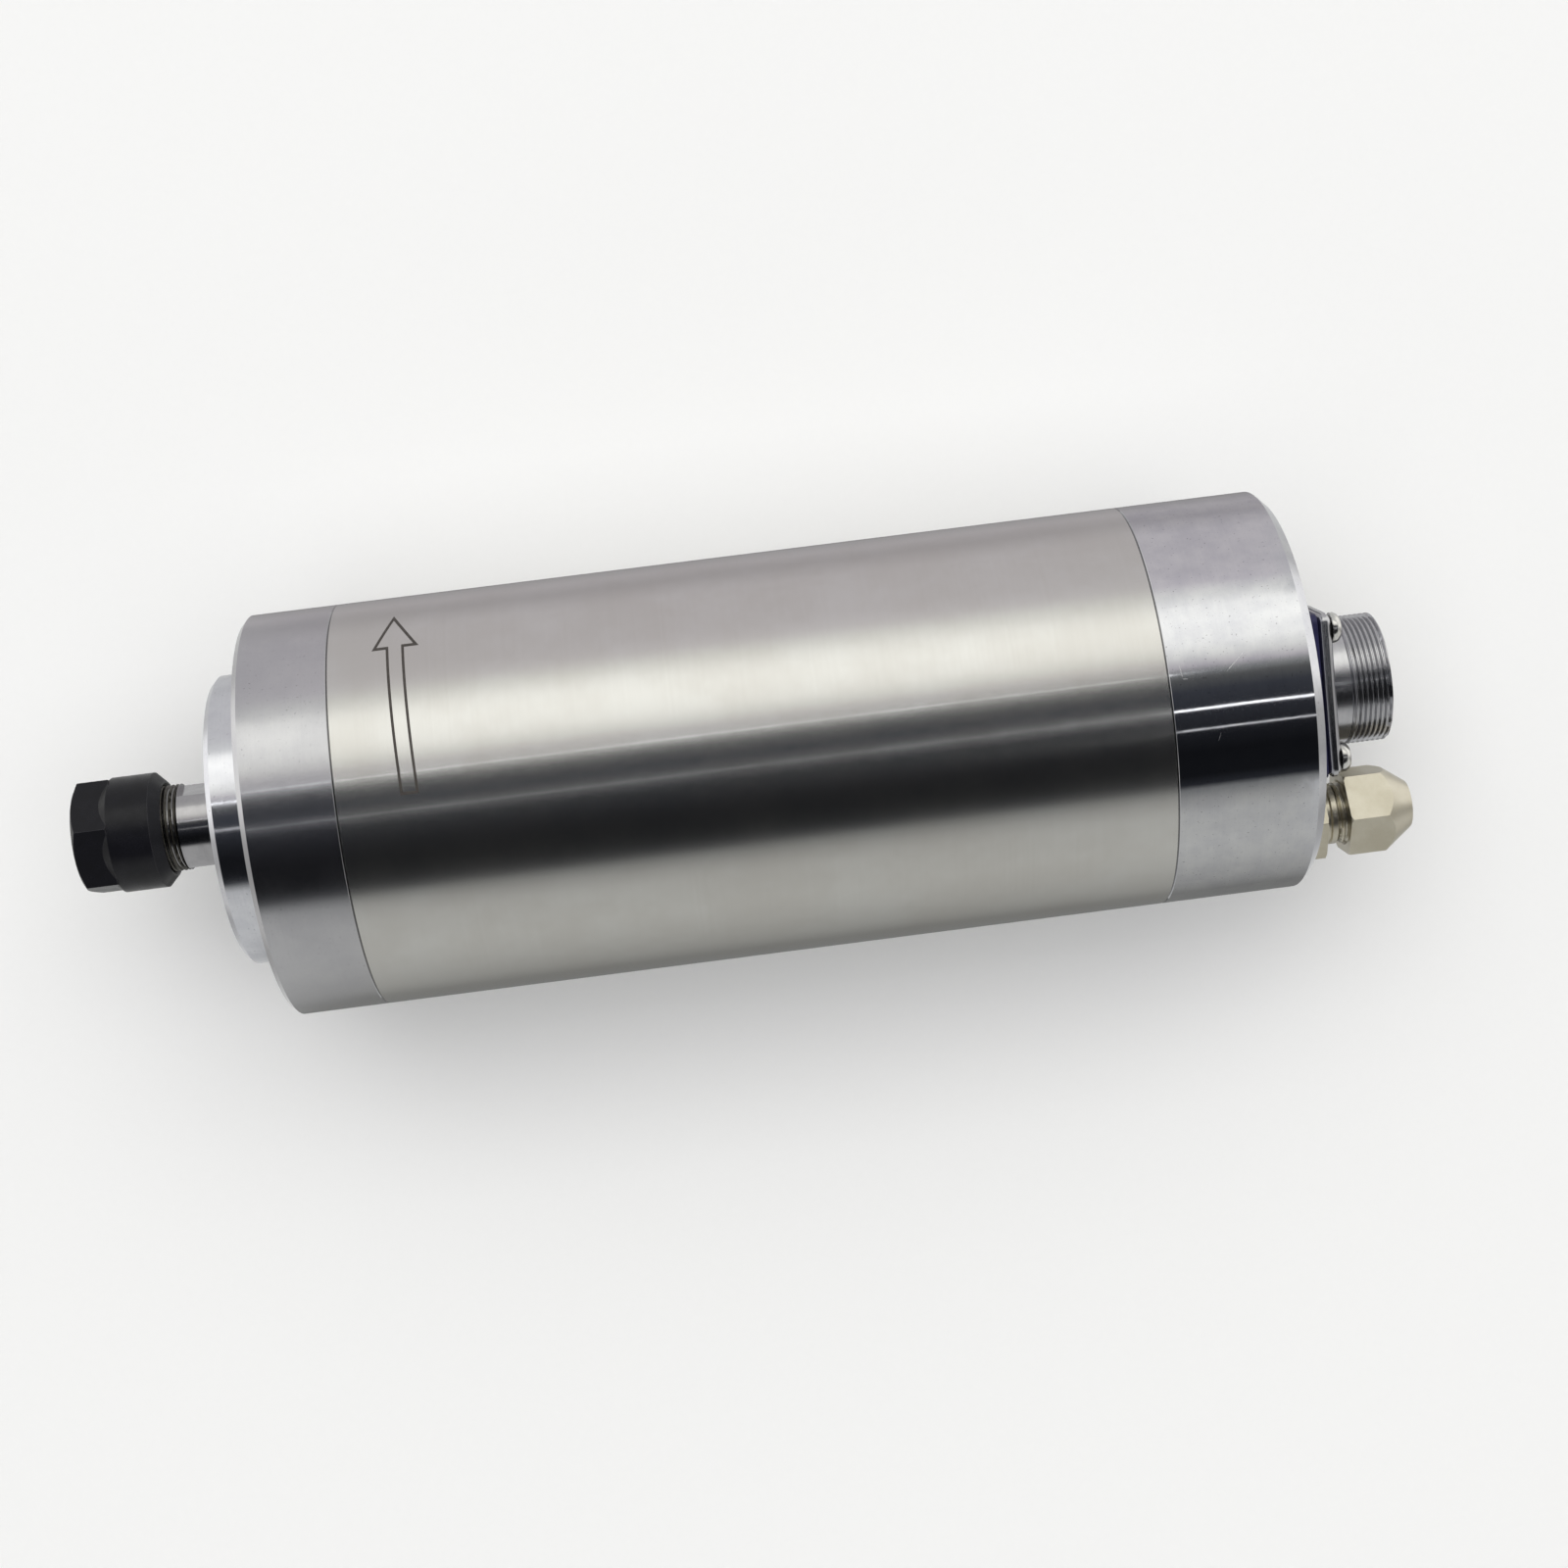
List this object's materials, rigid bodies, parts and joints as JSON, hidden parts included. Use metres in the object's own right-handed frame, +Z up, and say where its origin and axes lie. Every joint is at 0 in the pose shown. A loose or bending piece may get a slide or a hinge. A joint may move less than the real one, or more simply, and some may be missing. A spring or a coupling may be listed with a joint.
{
  "type": "motor spindle",
  "caption": "Water-cooled machine-tool motor spindle: plain round body, collet chuck on a short nose, screw-on power connector and compression hose fittings on the rear face.",
  "frame": {"origin": "on the spindle axis, in the plane of the front shoulder of the body, where the pilot boss begins", "axes": "+X along the spindle axis from the tool nose to the rear face, +Z up, hose fittings on the -Y and -Z sides"},
  "size_m": [0.2145, 0.065, 0.065],
  "materials": {
    "black_oxide_steel": "black oxide, satin",
    "ground_steel": "ground, bright",
    "bearing_steel": "polished bearing steel",
    "cage_phenolic": "phenolic cage",
    "lamination_steel": "laminated electrical steel",
    "end_ring_aluminium": "cast aluminium",
    "turned_aluminium": "fine turned",
    "turned_steel": "turned, satin",
    "black_screw_steel": "black oxide",
    "black_rubber": "moulded",
    "brushed_stainless": "circumferentially brushed",
    "sleeve_aluminium": "turned and milled",
    "enamelled_copper": "enamelled copper",
    "polished_aluminium": "turned and polished",
    "lead_sleeve": "silicone sleeving",
    "connector_chrome": "nickel chrome",
    "black_insulator": "moulded",
    "pin_brass": "silver plated brass",
    "plated_screw_steel": "bright zinc plate",
    "washer_fibre": "vulcanised fibre",
    "nickel_brass": "nickel plated"
  },
  "bodies": {
    "housing": {"front_bearing_outer_rings": "bearing_steel", "rear_bearing_outer_ring": "bearing_steel", "front_cover": "turned_aluminium", "front_cover_screws": "black_screw_steel", "front_end_cap": "turned_steel", "front_cap_screws": "black_screw_steel", "front_o_ring": "black_rubber", "outer_jacket": "brushed_stainless", "cooling_sleeve": "sleeve_aluminium", "stator_core": "lamination_steel", "stator_windings": "enamelled_copper", "rear_end_cap": "polished_aluminium", "rear_cap_screws": "black_screw_steel", "rear_o_ring": "black_rubber", "preload_spring": "ground_steel", "motor_leads": "lead_sleeve", "connector_gasket": "black_rubber", "connector_shell": "connector_chrome", "connector_insulator": "black_insulator", "connector_pins": "pin_brass", "connector_screws": "plated_screw_steel", "fitting_washers": "washer_fibre", "hose_ferrules": "nickel_brass", "inlet_fitting": "nickel_brass", "inlet_hose_nut": "nickel_brass", "outlet_fitting": "nickel_brass", "outlet_hose_nut": "nickel_brass"},
    "spindle_rotor": {"spindle_shaft": "ground_steel", "dust_slinger": "ground_steel", "bearing_lock_nut": "ground_steel", "front_bearing_inner_rings": "bearing_steel", "rear_bearing_inner_ring": "bearing_steel", "rotor_core": "lamination_steel", "rotor_end_rings": "end_ring_aluminium"},
    "front_ball_set": {"front_bearing_balls": "bearing_steel", "front_bearing_cages": "cage_phenolic"},
    "rear_ball_set": {"rear_bearing_balls": "bearing_steel", "rear_bearing_cage": "cage_phenolic"},
    "collet_body": {"collet": "ground_steel"},
    "nut_body": {"collet_nut": "black_oxide_steel"}
  },
  "joints": [
    {"name": "spindle_spin", "type": "hinge", "parent": "housing", "child": "spindle_rotor", "pos_m": [0, 0, 0], "axis": [1, 0, 0], "continuous": true},
    {"name": "front_cage_spin", "type": "hinge", "parent": "housing", "child": "front_ball_set", "pos_m": [0.012, 0, 0], "axis": [1, 0, 0], "continuous": true},
    {"name": "rear_cage_spin", "type": "hinge", "parent": "housing", "child": "rear_ball_set", "pos_m": [0.131, 0, 0], "axis": [1, 0, 0], "continuous": true},
    {"name": "collet_travel", "type": "slide", "parent": "spindle_rotor", "child": "collet_body", "axis": [-1, 0, 0], "range_m": [0, 0.003]},
    {"name": "collet_nut_turn", "type": "hinge", "parent": "collet_body", "child": "nut_body", "pos_m": [-0.024, 0, 0], "axis": [-1, 0, 0], "range_deg": [0, 1450]}
  ],
  "couplings": [
    {"joint": "front_cage_spin", "follows": "spindle_spin", "ratio": 0.39872},
    {"joint": "rear_cage_spin", "follows": "spindle_spin", "ratio": 0.38333},
    {"joint": "collet_nut_turn", "follows": "collet_travel", "rad_per_m": 8377.6}
  ]
}
